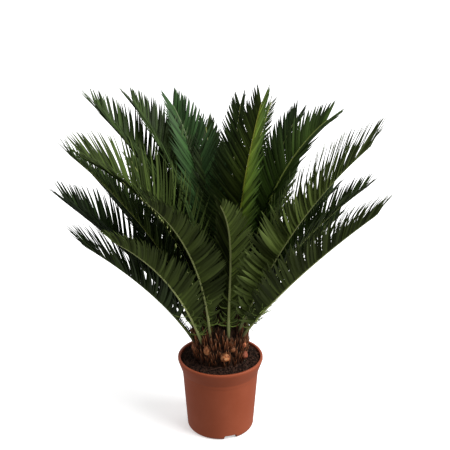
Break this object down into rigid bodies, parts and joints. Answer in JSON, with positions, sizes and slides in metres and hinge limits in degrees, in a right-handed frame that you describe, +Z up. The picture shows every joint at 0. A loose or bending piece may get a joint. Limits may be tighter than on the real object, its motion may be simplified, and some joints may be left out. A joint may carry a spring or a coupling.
{
  "type": "sago palm in a nursery pot",
  "caption": "Sago palm with stiff feather fronds rising from a scaly round stem, in a round terracotta-coloured plastic nursery pot.",
  "frame": {"origin": "middle of the flat underside of the pot, which the plant stands on", "axes": "+Z up along the pot's axis, -Y towards the front of the plant, +X to the right seen from the front"},
  "size_m": [0.578, 0.594, 0.664],
  "materials": {
    "pot": "terracotta-coloured moulded polypropylene, semi-matte",
    "soil": "moist dark peat with a few pale grains",
    "caudex": "dry brown scales and cut leaf bases, rough",
    "frond": "dark green leathery leaflets with a low gloss on an olive rib"
  },
  "bodies": {
    "root": {"pot": "pot", "soil": "soil", "caudex": "caudex", "frond_01": "frond", "frond_02": "frond", "frond_03": "frond", "frond_04": "frond", "frond_05": "frond", "frond_06": "frond", "frond_07": "frond", "frond_08": "frond", "frond_09": "frond", "frond_10": "frond", "frond_11": "frond", "frond_12": "frond", "frond_13": "frond", "frond_14": "frond", "frond_15": "frond", "frond_16": "frond", "frond_17": "frond", "frond_18": "frond", "frond_19": "frond", "frond_20": "frond", "frond_21": "frond", "frond_22": "frond", "frond_23": "frond", "frond_24": "frond", "frond_25": "frond", "frond_26": "frond"}
  },
  "joints": []
}
